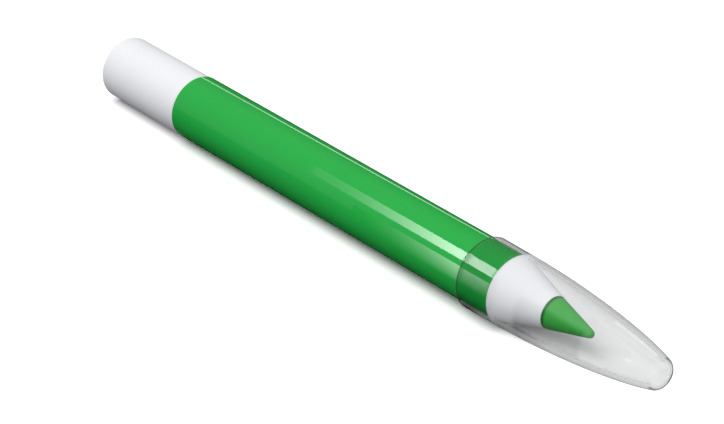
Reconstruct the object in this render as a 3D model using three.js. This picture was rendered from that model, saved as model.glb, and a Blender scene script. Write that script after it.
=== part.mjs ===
// A sharpenable jumbo crayon with a clear push-on cap, lying along X with its tip towards +X.
import * as THREE from 'three';

// Driving dimensions in millimetres. Places along the crayon are measured from its rear face.

// Casing: a plastic tube with a sharpened cone
const casingRadius = 5.75;
const shoulderAt = 104; // where the cylinder ends and the cone starts
const coneLength = 9.9;
const rearRound = 0.45;

// Lead: the waxy core, poured into the casing
const leadRadius = 2.8;
const leadExposed = 8.65; // from the front edge of the casing to the tip
const tipRadius = 0.75;
const boreClearance = 0.03;

// End plug: closes the bore behind the lead
const plugHeadRadius = 3.9;
const plugHeadDepth = 1.4;
const plugSpigotLength = 6;
const plugLead = 0.5; // chamfer at the nose of the spigot
const plugRecess = 0.15;
const plugEdge = 0.2; // chamfer round the visible face
const plugClearance = 0.03;
const leadGap = 0.1; // between the plug and the lead

// Label: a film wrapped once round the casing, with a lap
const labelStart = 21;
const labelMargin = 0.15; // bare casing between the label and the shoulder
const filmThickness = 0.06;
const filmClearance = 0.02;
const lapWidth = 1.5;
const lapTurn = Math.PI; // the lap lies on the underside

// Cap: a thin clear shell that stops on the cone of the casing
const capGrip = 7.1; // how far the rim reaches back over the casing
const capLength = 41.3;
const skirtWall = 0.5;
const skirtDraft = 0.07;
const capWall = 0.75;
const capClearance = 0.03; // between the seat bore and the lapped film
const stopClearance = 0.05; // between the step in the cap and the cone
const rimRound = 0.2;
const seatChamfer = 0.12;
const noseLean = 15.7 * THREE.MathUtils.DEG2RAD; // slope of the wall where the nose starts
const noseRound = 1.65;
const noseFlat = 1.27;
const rearHandle = 11.3; // how long the ogive keeps the direction of the skirt
const noseHandle = 7.6; // how long it keeps the direction of the nose

// Fineness
const sides = 20; // every round piece has the same sides, so that nested walls stay parallel
const ogiveSteps = 14;
const roundSteps = 5;

// Sizes that follow from the driving ones
const boreRadius = leadRadius + boreClearance;
const counterboreRadius = plugHeadRadius + plugClearance;
const plugFront = plugRecess + plugHeadDepth + plugSpigotLength;
const coneFront = shoulderAt + coneLength;
const coneSlope = (casingRadius - boreRadius) / coneLength;
const labelEnd = shoulderAt - labelMargin;
const filmInner = casingRadius + filmClearance;
const lapInner = filmInner + filmThickness + filmClearance;
const lapOuter = lapInner + filmThickness;
const seatRadius = lapOuter + capClearance;
const rimRadius = seatRadius + skirtWall;
const rimAt = shoulderAt - capGrip;
const noseAt = rimAt + capLength;
const ogiveRadius = rimRadius - skirtDraft;
const stepRadius = ogiveRadius - capWall;
const stepAt = shoulderAt + Math.max(stopClearance, (casingRadius - stepRadius) / coneSlope + stopClearance);

// Turns a profile of [place along the axis, radius] pairs into a closed body round the X axis.
// The sides are turned by half a side, so that a flat one lies underneath.
function revolve(profile) {
  const points = profile.map(([along, radius]) => new THREE.Vector2(radius, along));
  const geometry = new THREE.LatheGeometry(points, sides, Math.PI / sides);
  geometry.rotateZ(-Math.PI / 2);
  return geometry;
}

// Points along a quarter round or less, from one angle to another about a centre, ends included
function arc(centreAlong, centreRadius, radius, fromAngle, toAngle, steps) {
  const points = [];
  for (let i = 0; i <= steps; i++) {
    const angle = THREE.MathUtils.lerp(fromAngle, toAngle, i / steps);
    points.push([centreAlong + radius * Math.sin(angle), centreRadius + radius * Math.cos(angle)]);
  }
  return points;
}

function makeMesh(name, geometry, look) {
  const mesh = new THREE.Mesh(geometry, new THREE.MeshStandardMaterial(look));
  mesh.name = name;
  return mesh;
}

// The casing is read round its section: bore, counterbore, rear face, outside, cone and back to the bore.
function makeCasing() {
  const counterboreDepth = plugRecess + plugHeadDepth + plugClearance;
  const profile = [
    [coneFront, boreRadius],
    [counterboreDepth, boreRadius],
    [counterboreDepth, counterboreRadius],
    [0, counterboreRadius],
    ...arc(rearRound, casingRadius - rearRound, rearRound, -Math.PI / 2, 0, roundSteps),
    [shoulderAt, casingRadius],
    [coneFront, boreRadius],
  ];
  return makeMesh('casing', revolve(profile), { color: '#eef0f2', roughness: 0.35, metalness: 0 });
}

// The point of the lead runs straight from the casing's edge until it is tangent to the round tip.
function makeLead() {
  const tipCentre = coneFront + leadExposed - tipRadius;
  const toCentre = Math.hypot(tipCentre - coneFront, leadRadius);
  const halfAngle = Math.atan2(leadRadius, tipCentre - coneFront) - Math.asin(tipRadius / toCentre);
  const profile = [
    [plugFront + leadGap, 0],
    [plugFront + leadGap, leadRadius],
    [coneFront, leadRadius],
    ...arc(tipCentre, 0, tipRadius, halfAngle, Math.PI / 2, roundSteps),
  ];
  profile.at(-1)[1] = 0;
  return makeMesh('lead', revolve(profile), { color: '#3f9a45', roughness: 0.5, metalness: 0 });
}

function makeEndPlug() {
  const headFront = plugRecess + plugHeadDepth;
  const spigotRadius = boreRadius - plugClearance;
  const profile = [
    [plugRecess, 0],
    [plugRecess, plugHeadRadius - plugEdge],
    [plugRecess + plugEdge, plugHeadRadius],
    [headFront, plugHeadRadius],
    [headFront, spigotRadius],
    [plugFront - plugLead, spigotRadius],
    [plugFront, spigotRadius - plugLead],
    [plugFront, 0],
  ];
  return makeMesh('end_plug', revolve(profile), { color: '#e8eaec', roughness: 0.4, metalness: 0 });
}

// The film's section is a strip that goes once round the casing, climbs its own start in one side
// and lies on it for the width of the lap. It is drawn in the YZ plane and extruded along X.
function makeLabel() {
  const sideAngle = (2 * Math.PI) / sides;
  const endsAt = sides + lapWidth / (casingRadius * sideAngle); // counted in sides from the start
  const startAngle = lapTurn + sideAngle / 2;
  const cornerAt = (i, layer) => {
    const angle = startAngle + i * sideAngle;
    const radius = (i < sides ? filmInner : lapInner) + layer;
    return new THREE.Vector2(radius * Math.sin(angle), radius * Math.cos(angle));
  };
  // a place between two corners lies on the flat side that joins them
  const placeAt = (i, layer) => cornerAt(Math.floor(i), layer).lerp(cornerAt(Math.ceil(i), layer), i % 1);
  const places = [...Array(Math.ceil(endsAt)).keys(), endsAt];
  const inner = places.map((i) => placeAt(i, 0));
  const outer = places.map((i) => placeAt(i, filmThickness));
  const section = new THREE.Shape([...inner, ...outer.reverse()]);
  const geometry = new THREE.ExtrudeGeometry(section, { depth: labelEnd - labelStart, bevelEnabled: false });
  // the section's x and y become the crayon's Y and Z, and its depth becomes X
  geometry.applyMatrix4(new THREE.Matrix4().set(0, 0, 1, labelStart, 1, 0, 0, 0, 0, 1, 0, 0, 0, 0, 0, 1));
  return makeMesh('label', geometry, { color: '#1f9a3c', roughness: 0.15, metalness: 0 });
}

// One wall of the cap from the end of the skirt to the axis, moved inwards by a distance:
// an ogive that starts along the skirt and leans in to the nose, a round corner and a flat end
function capWallCurve(inwards) {
  const leanAlong = Math.cos(noseLean);
  const leanIn = Math.sin(noseLean);
  const roundAlong = noseAt - noseRound;
  const cornerRadius = noseRound - inwards;
  const start = new THREE.Vector2(stepAt, ogiveRadius - inwards);
  const end = new THREE.Vector2(roundAlong + cornerRadius * leanIn, noseFlat + cornerRadius * leanAlong);
  const ogive = new THREE.CubicBezierCurve(
    start,
    new THREE.Vector2(start.x + rearHandle, start.y - (rearHandle * skirtDraft) / (stepAt - rimAt)),
    new THREE.Vector2(end.x - noseHandle * leanAlong, end.y + noseHandle * leanIn),
    end,
  );
  const side = ogive.getPoints(ogiveSteps).map((point) => [point.x, point.y]);
  const corner = arc(roundAlong, noseFlat, cornerRadius, noseLean, Math.PI / 2, roundSteps);
  return [...side, ...corner.slice(1), [noseAt - inwards, 0]];
}

// The cap is read from the outside of its nose back to the rim and along the inside to the nose.
function makeCap() {
  const outside = capWallCurve(0).reverse();
  const inside = capWallCurve(capWall);
  const rim = arc(rimAt + rimRound, rimRadius - rimRound, rimRound, 0, -Math.PI / 2, roundSteps);
  const profile = [
    ...outside,
    ...rim,
    [rimAt, seatRadius + seatChamfer],
    [rimAt + seatChamfer, seatRadius],
    [stepAt, seatRadius],
    ...inside,
  ];
  const look = { color: '#f4f6f6', roughness: 0.05, metalness: 0, transparent: true, opacity: 0.25 };
  return makeMesh('cap', revolve(profile.reverse()), look);
}

// The crayon lies on the rim of its cap, midway along X over the origin.
const crayon = new THREE.Group();
crayon.add(makeCasing(), makeLead(), makeEndPlug(), makeLabel(), makeCap());
crayon.position.set(-noseAt / 2, 0, rimRadius * Math.cos(Math.PI / sides));

export default crayon;
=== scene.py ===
import math
from functools import partial

import bmesh
import bpy
from mathutils import Matrix, Vector


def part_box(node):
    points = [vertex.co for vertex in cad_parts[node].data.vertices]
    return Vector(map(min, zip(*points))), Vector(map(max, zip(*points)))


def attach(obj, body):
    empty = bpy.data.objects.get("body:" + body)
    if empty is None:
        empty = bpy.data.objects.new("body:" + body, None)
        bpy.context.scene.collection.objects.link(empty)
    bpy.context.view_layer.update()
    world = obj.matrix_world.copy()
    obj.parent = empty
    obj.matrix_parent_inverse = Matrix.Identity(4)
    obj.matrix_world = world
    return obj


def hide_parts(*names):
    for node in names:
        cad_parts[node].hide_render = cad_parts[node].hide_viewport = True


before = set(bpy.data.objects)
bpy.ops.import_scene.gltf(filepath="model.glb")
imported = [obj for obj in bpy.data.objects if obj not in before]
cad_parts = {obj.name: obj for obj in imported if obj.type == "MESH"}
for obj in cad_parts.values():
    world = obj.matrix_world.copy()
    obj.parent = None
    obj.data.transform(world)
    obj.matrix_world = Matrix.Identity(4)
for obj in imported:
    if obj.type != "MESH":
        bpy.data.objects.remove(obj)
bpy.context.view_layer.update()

# lengths below are in millimetres, and places along the crayon count from its rear face
mm = 0.001
sharpFrom = 32  # degrees; an edge that turns further than this stays sharp
casingLow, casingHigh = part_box("casing")
rearX = casingLow[0]
axisZ = (casingLow[2] + casingHigh[2]) / 2
scene = bpy.context.scene
print("frame loaded, the axis is", round(axisZ / mm, 3), "mm up")


# sRGB hex to the linear colour that nodes take
def hexColour(code):
    parts = [int(code[i:i + 2], 16) / 255 for i in (1, 3, 5)]
    linear = [c / 12.92 if c <= 0.04045 else ((c + 0.055) / 1.055) ** 2.4 for c in parts]
    return (*linear, 1)


# each input is a plain value or the output socket that feeds it
def addNode(tree, kind, inputs=None, **settings):
    node = tree.nodes.new(kind)
    for name, value in settings.items():
        setattr(node, name, value)
    for name, value in (inputs or {}).items():
        if isinstance(value, bpy.types.NodeSocket):
            tree.links.new(value, node.inputs[name])
        else:
            node.inputs[name].default_value = value
    return node


def addMath(tree, operation, first, second=0.0, third=0.0):
    return addNode(tree, "ShaderNodeMath", {0: first, 1: second, 2: third}, operation=operation).outputs[0]


# Turns the range from start to end into the one from low to high
def addRamp(tree, value, start, end, low=0.0, high=1.0):
    return addNode(tree, "ShaderNodeMapRange", {
        "Value": value, "From Min": start, "From Max": end, "To Min": low, "To Max": high,
    }).outputs["Result"]


def mixColours(tree, share, first, second):
    return addNode(tree, "ShaderNodeMix", {0: share, 6: first, 7: second}, data_type="RGBA").outputs[2]


def mixShaders(tree, share, first, second):
    return addNode(tree, "ShaderNodeMixShader", {0: share, 1: first, 2: second}).outputs[0]


def startMaterial(name):
    material = bpy.data.materials.new(name)
    material.use_nodes = True
    material.node_tree.nodes.clear()
    return material, material.node_tree


def addObject(name, data):
    thing = bpy.data.objects.new(name, data)
    scene.collection.objects.link(thing)
    return thing


# Camera: a long lens, so the crayon narrows only a little towards its rear
camera = {
    "focalPixels": 3300,
    "imageWidth": 724,
    "sensorWidth": 36,
    "rearSeen": (-42.665, -26.443, 599.568),  # the rear end from the lens: right, down, forward
    "axisSeen": (0.645459, 0.374775, -0.665527),  # the way to the nose, in the same directions
    "lookDown": 29.384,  # degrees
}


def placeCamera(spec):
    data = bpy.data.cameras.new("studioCamera")
    data.sensor_width = spec["sensorWidth"]
    data.lens = spec["focalPixels"] / spec["imageWidth"] * spec["sensorWidth"]
    data.clip_start, data.clip_end = 0.01, 20
    down = math.radians(spec["lookDown"])
    along = Vector(spec["axisSeen"]).normalized()
    up = Vector((0, -math.cos(down), -math.sin(down)))
    up = (up - up.dot(along) * along).normalized()
    seen = Matrix((along, up.cross(along), up))  # turns what the lens sees into the crayon's own axes
    lens = addObject("studioCamera", data)
    lens.location = Vector((rearX, 0, axisZ)) - seen @ (Vector(spec["rearSeen"]) * mm)
    columns = Matrix((seen @ Vector((1, 0, 0)), seen @ Vector((0, -1, 0)), seen @ Vector((0, 0, -1))))
    lens.rotation_mode = "QUATERNION"
    lens.rotation_quaternion = columns.transposed().to_quaternion()
    scene.camera = lens
    return lens


lens = placeCamera(camera)
print("camera placed at", [round(v, 4) for v in lens.location])


# Rounds the corners of a profile; each corner is (along, radius, fillet). A narrow band on both sides
# of a fillet keeps the shading of the flats beside it flat.
def filletProfile(corners, steps=6, band=0.04):
    points = []
    for i, (along, radius, fillet) in enumerate(corners):
        here = Vector((along, radius))
        if fillet == 0:
            points.append(here)
            continue
        before = (Vector(corners[i - 1][:2]) - here).normalized()
        after = (Vector(corners[(i + 1) % len(corners)][:2]) - here).normalized()
        half = before.angle(after) / 2
        centre = here + (before + after).normalized() * (fillet / math.sin(half))
        reach = fillet / math.tan(half)
        first = here + before * reach - centre
        last = here + after * reach - centre
        span = first.angle(last)
        points.append(here + before * (reach + band))
        for k in range(steps + 1):
            share = k / steps
            mixed = math.sin((1 - share) * span) * first + math.sin(share * span) * last
            points.append(centre + mixed / math.sin(span))
        points.append(here + after * (reach + band))
    return [(p.x, p.y) for p in points]


# Turns a profile round the crayon's axis; a radius of 0 gives a single vertex there
def revolve(name, profile, sides, closed=False, onAxis=1e-6):
    shape = bmesh.new()
    rings = []
    for along, radius in profile:
        x = rearX + along * mm
        count = 1 if radius < onAxis else sides
        angles = [2 * math.pi * k / sides for k in range(count)]
        rings.append([
            shape.verts.new((x, radius * mm * math.sin(a), axisZ + radius * mm * math.cos(a)))
            for a in angles
        ])
    pairs = list(zip(rings, rings[1:])) + ([(rings[-1], rings[0])] if closed else [])
    for one, two in pairs:
        for k in range(sides):
            m = (k + 1) % sides
            corners = [one[k % len(one)], two[k % len(two)], two[m % len(two)], one[m % len(one)]]
            shape.faces.new(list(dict.fromkeys(corners)))
    bmesh.ops.recalc_face_normals(shape, faces=shape.faces)
    mesh = bpy.data.meshes.new(name)
    shape.to_mesh(mesh)
    shape.free()
    mesh.shade_smooth()
    mesh.set_sharp_from_angle(angle=math.radians(sharpFrom))
    return addObject(name, mesh)


def seatPiece(piece, node, body, material):
    piece.data.materials.clear()
    piece.data.materials.append(material)
    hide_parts(node)
    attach(piece, body)
    print(piece.name, "made,", len(piece.data.polygons), "faces")


# Polypropylene moulded in a finely blasted tool: white, with a soft sheen that has no edge
def makePolypropylene(name, spec):
    material, tree = startMaterial(name)
    place = addNode(tree, "ShaderNodeTexCoord").outputs["Object"]
    flow = addNode(tree, "ShaderNodeTexNoise", {"Vector": place, "Scale": 120, "Detail": 2})  # 8 mm
    colour = mixColours(tree, flow.outputs["Fac"], hexColour(spec["light"]), hexColour(spec["dark"]))
    grain = addNode(tree, "ShaderNodeTexNoise", {"Vector": place, "Scale": 3500, "Detail": 3})  # 0.3 mm
    mean = spec["roughness"]
    gloss = addRamp(tree, grain.outputs["Fac"], 0, 1, mean - 0.05, mean + 0.05)
    relief = addNode(tree, "ShaderNodeBump", {
        "Height": grain.outputs["Fac"], "Strength": 0.15, "Distance": 0.00002,
    })
    shader = addNode(tree, "ShaderNodeBsdfPrincipled", {
        "Base Color": colour, "Roughness": gloss, "Normal": relief.outputs["Normal"],
        "IOR": 1.49, "Specular IOR Level": 0.2,
    })
    addNode(tree, "ShaderNodeOutputMaterial", {"Surface": shader.outputs["BSDF"]})
    return material


# Wax with pigment, poured and then turned in a sharpener: a dull glow, faint specks and fine rings
def makeWax(name, spec):
    material, tree = startMaterial(name)
    place = addNode(tree, "ShaderNodeTexCoord").outputs["Object"]
    specks = addNode(tree, "ShaderNodeTexNoise", {"Vector": place, "Scale": 2500, "Detail": 4})  # 0.4 mm
    body = mixColours(tree, specks.outputs["Fac"], hexColour(spec["light"]), hexColour(spec["dark"]))
    # painted shade: the wax is drawn darker for 0.25 mm where it leaves the casing, standing in for the
    # shade in that crease
    along = addNode(tree, "ShaderNodeSeparateXYZ", {0: place}).outputs["X"]
    baseX = rearX + spec["baseAt"] * mm
    edgeShadeShare = addRamp(tree, along, baseX + 0.05 * mm, baseX + 0.25 * mm, 1, 0)
    colour = mixColours(tree, edgeShadeShare, body, hexColour(spec["edge"]))
    # the knife leaves rings 0.12 mm apart, drawn at 0.4 mm so that they show
    stretched = addNode(tree, "ShaderNodeMapping", {"Vector": place, "Scale": (2500, 160, 160)})
    rings = addNode(tree, "ShaderNodeTexNoise", {
        "Vector": stretched.outputs["Vector"], "Scale": 1, "Detail": 2,
    })
    relief = addNode(tree, "ShaderNodeBump", {
        "Height": rings.outputs["Fac"], "Strength": 0.25, "Distance": 0.00003,
    })
    mean = spec["roughness"]
    gloss = addRamp(tree, rings.outputs["Fac"], 0, 1, mean - 0.07, mean + 0.07)
    shader = addNode(tree, "ShaderNodeBsdfPrincipled", {
        "Base Color": colour, "Roughness": gloss, "Normal": relief.outputs["Normal"], "IOR": 1.42,
    })
    addNode(tree, "ShaderNodeOutputMaterial", {"Surface": shader.outputs["BSDF"]})
    return material


# Printed polypropylene film under a gloss lacquer: saturated, with clean mirror-like bands
def makeLabelFilm(name, spec):
    material, tree = startMaterial(name)
    place = addNode(tree, "ShaderNodeTexCoord").outputs["Object"]
    blotch = addNode(tree, "ShaderNodeTexNoise", {"Vector": place, "Scale": 150, "Detail": 2})  # 7 mm
    colour = mixColours(tree, blotch.outputs["Fac"], hexColour(spec["ink"]), hexColour(spec["deepInk"]))
    peel = addNode(tree, "ShaderNodeTexNoise", {"Vector": place, "Scale": 700, "Detail": 1})  # 1.4 mm
    relief = addNode(tree, "ShaderNodeBump", {
        "Height": peel.outputs["Fac"], "Strength": 0.03, "Distance": 0.00002,
    })
    shader = addNode(tree, "ShaderNodeBsdfPrincipled", {
        "Base Color": colour, "Roughness": spec["roughness"], "Normal": relief.outputs["Normal"],
        "IOR": 1.5,
    })
    addNode(tree, "ShaderNodeOutputMaterial", {"Surface": shader.outputs["BSDF"]})
    return material


# Clear polystyrene, polished in the tool: sharp reflections, a faint grey where the wall is seen edge on
def makeClearPolystyrene(name, spec):
    material, tree = startMaterial(name)
    place = addNode(tree, "ShaderNodeTexCoord").outputs["Object"]
    along = addNode(tree, "ShaderNodeSeparateXYZ", {0: place}).outputs["X"]
    rimX = rearX + spec["rimAt"] * mm
    # painted shade: the rim's round edge is tinted dark grey, for the dark line it shows
    pastRim = addRamp(tree, along, *[rimX + v * mm for v in spec["rimLine"]])
    colour = mixColours(tree, pastRim, hexColour(spec["rimShadeTint"]), hexColour(spec["tint"]))
    # handling has dulled the polish in patches of about 5 mm
    wear = addNode(tree, "ShaderNodeTexNoise", {"Vector": place, "Scale": 200, "Detail": 3})
    mean = spec["roughness"]
    gloss = addRamp(tree, wear.outputs["Fac"], 0, 1, mean * 0.5, mean * 2)
    shader = addNode(tree, "ShaderNodeBsdfPrincipled", {
        "Base Color": colour, "Roughness": gloss, "IOR": 1.59, "Transmission Weight": 1,
    })
    # light goes straight through, so the cap leaves hardly any shadow, as a thin clear wall does; only the
    # skirt, which lies close on the label, lets less of it in
    skirtEnd = rearX + spec["stepAt"] * mm
    pastSkirt = addRamp(tree, along, skirtEnd - spec["skirtFade"] * mm, skirtEnd)
    passed = mixColours(tree, pastSkirt, hexColour(spec["skirtLight"]), hexColour("#FFFFFF"))
    clear = addNode(tree, "ShaderNodeBsdfTransparent", {"Color": passed})
    path = addNode(tree, "ShaderNodeLightPath").outputs
    isLight = addMath(tree, "MAXIMUM", path["Is Shadow Ray"], path["Is Diffuse Ray"])
    # and what the solid nose would keep turning round inside goes on as well, instead of ending black
    isCaught = addMath(tree, "GREATER_THAN", path["Glossy Depth"], spec["turns"] + 0.5)
    through = addMath(tree, "MAXIMUM", isLight, isCaught)
    surface = mixShaders(tree, through, shader.outputs["BSDF"], clear.outputs["BSDF"])
    addNode(tree, "ShaderNodeOutputMaterial", {"Surface": surface})
    return material


# Casing: a thick tube with a rounded rear edge and a straight sharpened cone
casing = {
    "radius": 5.75,
    "shoulderAt": 104,
    "coneFront": 113.9,
    "bore": 2.83,
    "rearRound": 0.45,
    "shoulderRound": 0.6,
    "frontRound": 0.06,
    "counterbore": 3.93,
    "counterboreDepth": 1.58,
    "mouthRound": 0.12,  # of the counterbore
    "sides": 256,
    "light": "#F0F1F4",
    "dark": "#ECEDF0",
    "roughness": 0.42,
}
profile = filletProfile([
    (casing["coneFront"], casing["bore"], casing["frontRound"]),
    (casing["counterboreDepth"], casing["bore"], 0),
    (casing["counterboreDepth"], casing["counterbore"], 0),
    (0, casing["counterbore"], casing["mouthRound"]),
    (0, casing["radius"], casing["rearRound"]),
    (casing["shoulderAt"], casing["radius"], casing["shoulderRound"]),
])
casingTube = revolve("casingTube", profile, casing["sides"], closed=True)
seatPiece(casingTube, "casing", "crayon", makePolypropylene("moulded polypropylene", casing))

# Lead: the wax core, with a straight point that ends in a round tip
lead = {
    "radius": 2.8,
    "from": 7.65,
    "baseAt": 113.9,
    "tipAt": 122.55,
    "tipRadius": 0.75,
    "groove": 0.08,  # depth of the shrinkage groove where the wax leaves the casing
    "grooveRound": 0.05,
    "rearRound": 0.15,
    "tipSteps": 14,
    "sides": 192,
    "light": "#44B24B",
    "dark": "#35A33F",
    "edge": "#257A35",  # painted shade where it leaves the casing
    "roughness": 0.45,
}


def leadProfile(spec):
    centre = spec["tipAt"] - spec["tipRadius"]
    reach = math.hypot(centre - spec["baseAt"], spec["radius"])
    lean = math.atan2(spec["radius"], centre - spec["baseAt"]) - math.asin(spec["tipRadius"] / reach)
    steps = spec["tipSteps"]
    angles = [lean + (math.pi / 2 - lean) * k / steps for k in range(steps + 1)]
    tip = [(centre + spec["tipRadius"] * math.sin(a), spec["tipRadius"] * math.cos(a), 0) for a in angles]
    base, radius, depth = spec["baseAt"], spec["radius"], spec["groove"]
    return filletProfile([
        (spec["from"], 0, 0),
        (spec["from"], radius, spec["rearRound"]),
        (base - 2 * depth, radius, spec["grooveRound"]),
        (base, radius - depth, spec["grooveRound"]),
        (base + 2 * depth, radius - 2 * depth * math.tan(lean), spec["grooveRound"]),
    ] + tip)


leadCore = revolve("leadCore", leadProfile(lead), lead["sides"])
seatPiece(leadCore, "lead", "crayon", makeWax("pigmented wax", lead))

# End plug: its head fills the counterbore and its spigot the bore
plug = {
    "recess": 0.15,
    "headRadius": 3.9,
    "headFront": 1.55,
    "spigot": 2.8,
    "front": 7.55,
    "faceRound": 0.2,
    "headRound": 0.05,
    "noseRound": 0.45,
    "sides": 192,
    "light": "#E9EAED",
    "dark": "#E4E5E8",
    "roughness": 0.45,
}
profile = filletProfile([
    (plug["recess"], 0, 0),
    (plug["recess"], plug["headRadius"], plug["faceRound"]),
    (plug["headFront"], plug["headRadius"], plug["headRound"]),
    (plug["headFront"], plug["spigot"], 0),
    (plug["front"], plug["spigot"], plug["noseRound"]),
    (plug["front"], 0, 0),
])
endPlug = revolve("endPlug", profile, plug["sides"])
seatPiece(endPlug, "end_plug", "crayon", makePolypropylene("moulded polypropylene plug", plug))

# Label: one turn of printed film and a narrow lap, which climbs over its own start
label = {
    "Start": 21,
    "Length": 82.85,
    "Radius": 5.77,
    "Thickness": 0.06,
    "Climb": 0.08,  # how far the lap lies above the first layer's inside
    "Lap": 1.5,
    "Lap Angle": 180.0,  # degrees from the top; the lap is on the underside
    "Climb Run": 0.08,  # how far round the climb goes, in radians
    "Around": 420,  # vertices round the casing
    "Along": 24,
    "sharpFrom": 40,  # degrees
    "ink": "#28AF49",
    "deepInk": "#26AA46",
    "roughness": 0.06,
}


# The film as a rule: a grid whose second side goes round the casing, thickened at the end
def makeWrapTree(material):
    tree = bpy.data.node_groups.new("filmWrap", "GeometryNodeTree")
    lengths = ("Start", "Length", "Radius", "Thickness", "Climb", "Lap", "Axis Height", "Rear")
    for name in (*lengths, "Lap Angle", "Climb Run"):
        tree.interface.new_socket(name=name, in_out="INPUT", socket_type="NodeSocketFloat")
    for name in ("Around", "Along"):
        tree.interface.new_socket(name=name, in_out="INPUT", socket_type="NodeSocketInt")
    tree.interface.new_socket(name="Geometry", in_out="OUTPUT", socket_type="NodeSocketGeometry")
    given = addNode(tree, "NodeGroupInput").outputs
    maths = partial(addMath, tree)
    grid = addNode(tree, "GeometryNodeMeshGrid", {
        "Size X": 1.0, "Size Y": 1.0, "Vertices X": given["Along"], "Vertices Y": given["Around"],
    })
    gridPlace = addNode(tree, "GeometryNodeInputPosition").outputs[0]
    spot = addNode(tree, "ShaderNodeSeparateXYZ", {0: gridPlace})
    share = maths("ADD", spot.outputs["X"], 0.5)
    turn = maths("ADD", spot.outputs["Y"], 0.5)
    lapAngle = maths("DIVIDE", given["Lap"], given["Radius"])
    whole = maths("ADD", lapAngle, 2 * math.pi)
    angle = maths("MULTIPLY", turn, whole)
    climbEnd = 2 * math.pi - 0.01
    climbing = addNode(tree, "ShaderNodeMapRange", {
        "Value": angle, "From Min": maths("SUBTRACT", climbEnd, given["Climb Run"]), "From Max": climbEnd,
    }, interpolation_type="SMOOTHSTEP").outputs["Result"]
    radius = maths("MULTIPLY", maths("MULTIPLY_ADD", climbing, given["Climb"], given["Radius"]), mm)
    facing = maths("ADD", angle, maths("RADIANS", given["Lap Angle"]))
    along = maths("MULTIPLY_ADD", share, given["Length"], given["Start"])
    place = addNode(tree, "ShaderNodeCombineXYZ", {
        "X": maths("MULTIPLY_ADD", along, mm, given["Rear"]),
        "Y": maths("MULTIPLY", radius, maths("SINE", facing)),
        "Z": maths("MULTIPLY_ADD", radius, maths("COSINE", facing), given["Axis Height"]),
    })
    bent = addNode(tree, "GeometryNodeSetPosition", {
        "Geometry": grid.outputs["Mesh"], "Position": place.outputs[0],
    })
    # the film's own map, for whoever prints on it: along the crayon and round it, in units of 100 mm
    flat = addNode(tree, "ShaderNodeCombineXYZ", {
        "X": maths("MULTIPLY", along, 0.01),
        "Y": maths("MULTIPLY", maths("MULTIPLY", angle, given["Radius"]), 0.01),
    })
    mapped = addNode(tree, "GeometryNodeStoreNamedAttribute", {
        "Geometry": bent.outputs["Geometry"], "Name": "wrap", "Value": flat.outputs[0],
    }, data_type="FLOAT2", domain="CORNER")
    raised = addNode(tree, "GeometryNodeExtrudeMesh", {
        "Mesh": mapped.outputs["Geometry"], "Offset Scale": maths("MULTIPLY", given["Thickness"], mm),
        "Individual": False,
    })
    back = addNode(tree, "GeometryNodeFlipFaces", {"Mesh": mapped.outputs["Geometry"]})
    shell = addNode(tree, "GeometryNodeJoinGeometry")
    tree.links.new(back.outputs["Mesh"], shell.inputs[0])
    tree.links.new(raised.outputs["Mesh"], shell.inputs[0])
    merged = addNode(tree, "GeometryNodeMergeByDistance", {"Geometry": shell.outputs[0], "Distance": 1e-6})
    real = addNode(tree, "GeometryNodeRealizeInstances", {"Geometry": merged.outputs["Geometry"]})
    dressed = addNode(tree, "GeometryNodeSetMaterial", {
        "Geometry": real.outputs["Geometry"], "Material": material,
    })
    addNode(tree, "NodeGroupOutput", {"Geometry": dressed.outputs["Geometry"]})
    return tree


def makeLabel(spec, material):
    blank = addObject("labelBlank", bpy.data.meshes.new("labelBlank"))
    modifier = blank.modifiers.new("wrap", "NODES")
    modifier.node_group = makeWrapTree(material)
    values = {**spec, "Axis Height": axisZ, "Rear": rearX}
    for item in modifier.node_group.interface.items_tree:
        if item.in_out == "INPUT":
            kind = int if item.socket_type == "NodeSocketInt" else float
            modifier[item.identifier] = kind(values[item.name])
    bpy.context.view_layer.update()
    evaluated = blank.evaluated_get(bpy.context.evaluated_depsgraph_get())
    mesh = bpy.data.meshes.new_from_object(evaluated)
    mesh.name = "labelFilm"
    bpy.data.objects.remove(blank)
    mesh.shade_smooth()
    mesh.set_sharp_from_angle(angle=math.radians(spec["sharpFrom"]))
    return addObject("labelFilm", mesh)


filmMaterial = makeLabelFilm("printed polypropylene film", label)
labelFilm = makeLabel(label, filmMaterial)
seatPiece(labelFilm, "label", "crayon", filmMaterial)

# Cap: a thin clear shell with a drafted skirt, a step that stops on the cone and a blunt ogive nose
cap = {
    "rimAt": 96.9,
    "noseAt": 138.2,
    "rimRadius": 6.44,
    "seatRadius": 5.94,
    "stepAt": 104.49,
    "stepRun": 0.9,  # the step's face is drafted over this length
    "stepBack": 0.2,  # and starts this much before the stop
    "stepRound": 1,
    "stepPoints": 4,  # of the ogive that the step's second round runs over
    "rimRound": 0.2,
    "seatRound": 0.12,
    "skirtRun": 3,  # a point of the skirt: so far from the rim, and the outside is so much smaller
    "skirtDrop": 0.028,
    "wall": 0.75,
    "draft": 0.07,
    "lean": 15.7,  # degrees, of the wall where the nose starts
    "noseRound": 1.65,
    "noseFlat": 1.27,
    "rearHandle": 11.3,
    "noseHandle": 7.6,
    "innerHandle": 0.7,  # how the inside of the nose runs out to the axis
    "innerRound": 1.5,
    "ogiveSteps": 72,
    "noseSteps": 16,
    "sides": 256,
    "tint": "#FAFBFB",
    "rimShadeTint": "#8E9090",
    "rimLine": (0.2, 0.35),  # a dark line of painted shade on the rim's round edge, which fades between these
    "skirtLight": "#F1F2F2",
    "skirtFade": 1,
    "roughness": 0.02,
    "turns": 2,  # how often a ray may be mirrored inside
}


# A place on the curve between two ends that leaves them towards its handles
def bezier(start, first, second, end, t):
    p = start * (1 - t) ** 3 + first * 3 * t * (1 - t) ** 2 + second * 3 * t * t * (1 - t) + end * t ** 3
    return p.x, p.y


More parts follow.
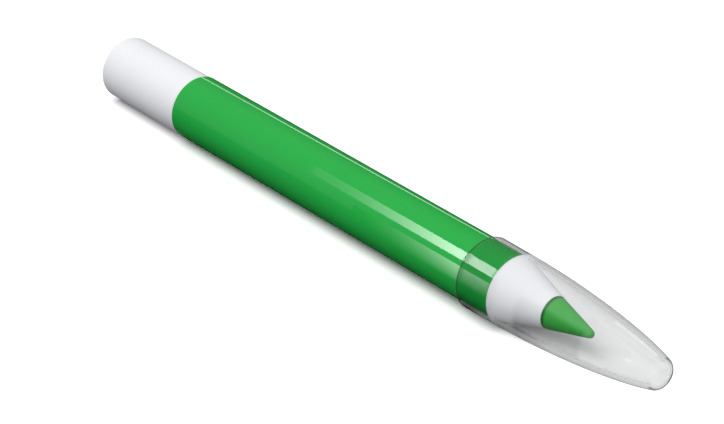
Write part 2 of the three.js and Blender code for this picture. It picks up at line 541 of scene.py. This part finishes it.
# One wall of the cap from the step to the axis, moved in by a distance
def capWall(spec, inwards):
    lean = math.radians(spec["lean"])
    leaning = Vector((math.cos(lean), -math.sin(lean)))
    corner, flat = spec["noseRound"] - inwards, spec["noseFlat"]
    roundAt = spec["noseAt"] - spec["noseRound"]
    slope = spec["draft"] / (spec["stepAt"] - spec["rimAt"])
    start = Vector((spec["stepAt"], spec["rimRadius"] - spec["draft"] - inwards))
    first = start + Vector((1, -slope)) * spec["rearHandle"]
    end = Vector((roundAt + corner * math.sin(lean), flat + corner * math.cos(lean)))
    second = end - leaning * spec["noseHandle"]
    steps = spec["ogiveSteps"]
    points = [bezier(start, first, second, end, k / steps) for k in range(steps + 1)]
    steps = spec["noseSteps"]
    top = Vector((spec["noseAt"] - inwards, 0))
    if inwards > 0:
        # inside, the nose runs out evenly to the axis, so that no edge of its flat shows through
        near = end + leaning * spec["innerHandle"]
        last = top + Vector((0, spec["innerRound"]))
        points += [bezier(end, near, last, top, k / steps) for k in range(1, steps)]
    else:
        angles = [lean + (math.pi / 2 - lean) * k / steps for k in range(1, steps + 1)]
        points += [(roundAt + corner * math.sin(a), flat + corner * math.cos(a)) for a in angles]
    return points + [(top.x, 0)]


def capProfile(spec):
    outside = capWall(spec, 0)
    inside = capWall(spec, spec["wall"])
    later = [p for p in inside if p[0] > spec["stepAt"] + spec["stepRun"]]
    rim = filletProfile([
        (spec["rimAt"] + spec["skirtRun"], spec["rimRadius"] - spec["skirtDrop"], 0),
        (spec["rimAt"], spec["rimRadius"], spec["rimRound"]),
        (spec["rimAt"], spec["seatRadius"], spec["seatRound"]),
        (spec["stepAt"] - spec["stepBack"], spec["seatRadius"], spec["stepRound"]),
        (*later[0], spec["stepRound"]),
        (*later[spec["stepPoints"]], 0),
    ])
    return outside[::-1] + rim + later[spec["stepPoints"] + 1:]


clearCap = revolve("clearCap", capProfile(cap), cap["sides"])
seatPiece(clearCap, "cap", "cap", makeClearPolystyrene("clear polystyrene", cap))


# Mixes three shaders by the way a ray has come: as light, mirrored in a gloss, or seen by the lens,
# also through the clear cap. What turns in the cap's wall is a little dimmer.
def mixByPath(tree, light, mirrored, seen, wallGives=0.7):
    path = addNode(tree, "ShaderNodeLightPath").outputs
    maths = partial(addMath, tree)
    undimmed = maths("LESS_THAN", path["Diffuse Depth"], 0.5)
    unturned = maths("LESS_THAN", path["Glossy Depth"], 0.5)
    oneWall = maths("LESS_THAN", path["Transmission Depth"], 2.5)
    inWall = maths("MULTIPLY", maths("MULTIPLY", path["Is Transmission Ray"], oneWall), wallGives)
    plain = maths("MAXIMUM", unturned, inWall)
    straight = maths("MAXIMUM", path["Is Camera Ray"], path["Is Transmission Ray"])
    gloss = maths("MAXIMUM", straight, path["Is Glossy Ray"])
    isGloss = maths("MULTIPLY", gloss, undimmed)
    isSeen = maths("MULTIPLY", maths("MULTIPLY", straight, undimmed), plain)
    return mixShaders(tree, isSeen, mixShaders(tree, isGloss, light, mirrored), seen)


# Floor: the crayon rests on its cap's rim and on its rear edge, so the floor leans by 0.4 degrees here
floor = {
    "size": 3.0,  # metres
    "bounce": "#868688",  # what the board gives back to the crayon
    "mirrored": "#8A8A8C",  # what a gloss shows of it
    "underShadow": "#202020",  # painted shadow: what a gloss shows of the part that lies close under the crayon
    "underEnds": (38, 41),  # that part fades out so far from the middle of the label that shows bare
    "underSides": (5, 8),  # and so far to both sides
    "seen": "#FAF9FA",
    "capShade": "#909090",  # what shows through the cap of the board that its near side touches
    "capShadeFades": (("X", 115, 108), ("Y", -1.3, -2.3), ("Y", -8, -5)),  # from none to full
    "lift": "#A9A9A9",  # brings the open board up to white for the lens alone
}


# Matt board: white to the lens, with the dark close under the crayon left on it, and subdued in a gloss,
# where a painted shadow lies close under the crayon
def makeBoard(name, spec):
    material, tree = startMaterial(name)

    def coat(side):
        return addNode(tree, "ShaderNodeBsdfDiffuse", {"Color": hexColour(spec[side])}).outputs[0]

    place = addNode(tree, "ShaderNodeTexCoord").outputs["Object"]
    path = addNode(tree, "ShaderNodeLightPath").outputs
    middle = rearX + (label["Start"] + cap["rimAt"]) / 2 * mm
    offset = addNode(tree, "ShaderNodeVectorMath", {0: place, 1: (middle, 0, 0)}, operation="SUBTRACT")
    aside = addNode(tree, "ShaderNodeVectorMath", {0: offset.outputs[0]}, operation="ABSOLUTE")
    split = addNode(tree, "ShaderNodeSeparateXYZ", {0: aside.outputs[0]}).outputs
    # painted shadow: close under the crayon the board is dark in a gloss
    beyondEnds = addRamp(tree, split["X"], *[v * mm for v in spec["underEnds"]])
    beyondSides = addRamp(tree, split["Y"], *[v * mm for v in spec["underSides"]])
    pastUnderShadow = addMath(tree, "MAXIMUM", beyondEnds, beyondSides)
    mirrored = mixShaders(tree, pastUnderShadow, coat("underShadow"), coat("mirrored"))
    # no light stops at the cap, so its contact shadow is laid on the board, for what comes through the cap
    spot = addNode(tree, "ShaderNodeSeparateXYZ", {0: place}).outputs
    shade = path["Is Transmission Ray"]
    for side, none, full in spec["capShadeFades"]:
        zero = rearX if side == "X" else 0
        fade = addRamp(tree, spot[side], zero + none * mm, zero + full * mm)
        shade = addMath(tree, "MULTIPLY", shade, fade)
    seen = mixShaders(tree, shade, coat("seen"), coat("capShade"))
    whole = mixByPath(tree, coat("bounce"), mirrored, seen)
    lifted = addNode(tree, "ShaderNodeAddShader", {0: whole, 1: coat("lift")}).outputs[0]
    surface = mixShaders(tree, path["Is Camera Ray"], whole, lifted)
    addNode(tree, "ShaderNodeOutputMaterial", {"Surface": surface})
    return material


def makeFloor(spec):
    rimX = rearX + cap["rimAt"] * mm
    rimZ = axisZ - cap["rimRadius"] * mm
    rise = (cap["rimRadius"] - casing["radius"]) / (cap["rimAt"] - casing["rearRound"])
    half = spec["size"] / 2
    mesh = bpy.data.meshes.new("floorBoard")
    corners = [(-half, -half), (half, -half), (half, half), (-half, half)]
    mesh.from_pydata([(x, y, rimZ - (x - rimX) * rise) for x, y in corners], [], [(0, 1, 2, 3)])
    board = addObject("floorBoard", mesh)
    mesh.materials.append(makeBoard("matt board", spec))


makeFloor(floor)
print("floor laid under the rim and the rear edge")

# World: white where the lens looks at it, and softer in a gloss and as light
surround = {"light": 0.59, "mirrored": 0.27, "seen": 1.0}


def makeWorld(spec):
    world = bpy.data.worlds.new("studioWorld")
    world.use_nodes = True
    tree = world.node_tree
    tree.nodes.clear()
    white = hexColour("#FFFFFF")
    skies = [
        addNode(tree, "ShaderNodeBackground", {"Color": white, "Strength": spec[use]}).outputs[0]
        for use in ("light", "mirrored", "seen")
    ]
    addNode(tree, "ShaderNodeOutputWorld", {"Surface": mixByPath(tree, *skies)})
    scene.world = world


makeWorld(surround)

# Lamps: one wide soft key, high on the side of the lens, in metres
key = {"size": 0.5, "height": 0.7, "along": 0.11, "across": -0.37, "watts": 3.8}


def makeKey(spec):
    data = bpy.data.lights.new("keyLamp", "AREA")
    data.shape = "SQUARE"
    data.size = spec["size"]
    data.energy = spec["watts"]
    lamp = addObject("keyLamp", data)
    lamp.location = (spec["along"], spec["across"], spec["height"])
    lamp.rotation_mode = "QUATERNION"
    lamp.rotation_quaternion = (-Vector(lamp.location)).to_track_quat("-Z", "Y")
    lamp.visible_glossy = False
    lamp.visible_transmission = False


makeKey(key)
print("world and key lamp set")

# Reflectors and flags: cards that only gloss can see, lit or dark. Each is placed by the mirror law, so
# that the lens sees it in the film or the cap between two places along the crayon and two heights
# across it, where -1 and 1 are the lower and upper outline. The levels of light at those two heights
# are "low" and "high", each from the first place to the second, and "away" is the way to the card.
cards = {
    "crispCard": {
        "along": (58, 96.7), "across": (-0.01, 0.24), "low": (0.8, 14), "high": (0.8, 14), "away": 60,
    },
    "crispInCap": {
        "along": (97, 103.8), "across": (-0.01, 0.24), "low": (3.1, 3.1), "high": (3.1, 3.1), "away": 50,
        "deep": True,
    },
    "crispBehindRim": {
        "along": (95.4, 97), "across": (-0.01, 0.24), "low": (3.1, 3.1), "high": (3.1, 3.1), "away": 50,
        "deep": True, "onlyDeep": True,
    },
    "softCard": {
        "along": (70, 96.7), "across": (-0.6, -0.18), "high": (0, 6.6), "away": 12, "lowest": 1.3,
    },
    "softInCap": {
        "along": (97, 104.2), "across": (-0.55, -0.18), "high": (1.2, 1), "away": 12, "lowest": 1.3,
        "deep": True,
    },
    "lowFlag": {"along": (18, 104.2), "across": (-0.92, -0.34), "away": 14, "deep": True},
    "skirtFlag": {
        "along": (97, 104.2), "across": (-0.34, 0.9), "low": (0.08, 0.08), "high": (0.08, 0.08), "away": 70,
        "deep": True,
    },
    "flagBehindRim": {
        "along": (92, 97), "across": (-0.34, 0.9), "low": (0.08, 0.08), "high": (0.08, 0.08), "away": 70,
        "deep": True, "onlyDeep": True,
    },
    "leadFlag": {"along": (110, 124), "across": (-0.88, -0.13), "away": 14, "deep": True},
    "leadFlagEnd": {
        "along": (110, 124), "across": (-0.13, 0.05), "high": (0.6, 0.6), "away": 14, "deep": True,
    },
    "topLine": {
        "along": (19, 96), "across": (0.835, 0.86), "low": (2.6, 1.6), "high": (2.6, 1.6), "away": 60,
        "drift": 0.07,  # it nears the outline by this much along the crayon
    },
    "topFlag": {"along": (18, 104.2), "across": (0.6, 0.99), "low": (0.25, 0.25), "away": 90},
    "streak": {
        "along": (127, 136.4), "across": (0.70, 0.80), "low": (1.5, 2), "high": (1.5, 2), "away": 50,
    },
}
cardPlain = {"low": (0, 0), "high": (0, 0), "drift": 0, "lowest": 0.8, "deep": False, "onlyDeep": False}


# The outline that the lens sees the gloss of: the film's, and from the rim on the cap's
def skinAt(along, onlyCap):
    if along < cap["rimAt"] and not onlyCap:
        return label["Radius"] + label["Thickness"], 0
    if along < cap["stepAt"]:
        return cap["rimRadius"], -cap["draft"] / (cap["stepAt"] - cap["rimAt"])
    outline = capWall(cap, 0)
    for (x0, r0), (x1, r1) in zip(outline, outline[1:]):
        if along <= x1:
            return r0 + (r1 - r0) * (along - x0) / (x1 - x0), (r1 - r0) / (x1 - x0)


def placeOnCard(along, across, distance, lowest, onlyCap):
    radius, slope = skinAt(along, onlyCap)
    axisPoint = Vector((rearX + along * mm, 0, axisZ))
    forward = Vector((1, 0, 0))
    toLens = lens.location - axisPoint
    facing = (toLens - toLens.dot(forward) * forward).normalized()
    upward = facing.cross(forward)
    upward = upward if upward.z > 0 else -upward
    outward = facing * math.sqrt(1 - across * across) + upward * across
    point = axisPoint + outward * radius * mm
    normal = (outward - forward * slope).normalized()
    view = (lens.location - point).normalized()
    away = 2 * normal.dot(view) * normal - view
    card = point + away * distance * mm
    lowest *= mm  # a card that would sink into the floor lies over it
    return card if card.z > lowest else point + away * (lowest - point.z) / away.z


# Lit or dark in a gloss, and not there for what only passes through the cap
def makeGlow(name):
    material, tree = startMaterial(name)
    level = addNode(tree, "ShaderNodeAttribute", attribute_name="level").outputs["Fac"]
    glow = addNode(tree, "ShaderNodeEmission", {"Color": hexColour("#FFFFFF"), "Strength": level})
    clear = addNode(tree, "ShaderNodeBsdfTransparent")
    path = addNode(tree, "ShaderNodeLightPath").outputs
    mirrored = addMath(tree, "GREATER_THAN", path["Glossy Depth"], 0.5)
    surface = mixShaders(tree, mirrored, clear.outputs[0], glow.outputs[0])
    addNode(tree, "ShaderNodeOutputMaterial", {"Surface": surface})
    return material


def between(ends, share):
    return ends[0] + (ends[1] - ends[0]) * share


# "deep" cards also show in what lies under the cap, and "onlyDeep" ones nowhere else. A level changes
# slowly at the first end and quickly at the second.
def makeCard(name, spec, material, columns=24, rows=8, growth=2.2):
    verts, levels, faces = [], [], []
    for i in range(columns + 1):
        for j in range(rows + 1):
            a, b = i / columns, j / rows
            along = between(spec["along"], a)
            across = between(spec["across"], b) + spec["drift"] * a
            verts.append(placeOnCard(along, across, spec["away"], spec["lowest"], spec["onlyDeep"]))
            low, high = between(spec["low"], a ** growth), between(spec["high"], a ** growth)
            levels.append(between((low, high), b))
    for i in range(columns):
        for j in range(rows):
            k = i * (rows + 1) + j
            faces.append((k, k + 1, k + rows + 2, k + rows + 1))
    mesh = bpy.data.meshes.new(name)
    mesh.from_pydata(verts, [], faces)
    glow = mesh.attributes.new("level", "FLOAT", "POINT")
    glow.data.foreach_set("value", levels)
    mesh.materials.append(material)
    card = addObject(name, mesh)
    card.visible_camera = False
    card.visible_diffuse = False
    card.visible_shadow = False
    card.visible_transmission = spec["deep"]
    card.visible_glossy = not spec["onlyDeep"]


glowMaterial = makeGlow("lit card")
for name, spec in cards.items():
    makeCard(name, {**cardPlain, **spec}, glowMaterial)
print(len(cards), "cards placed")

scene.view_settings.view_transform = "Standard"
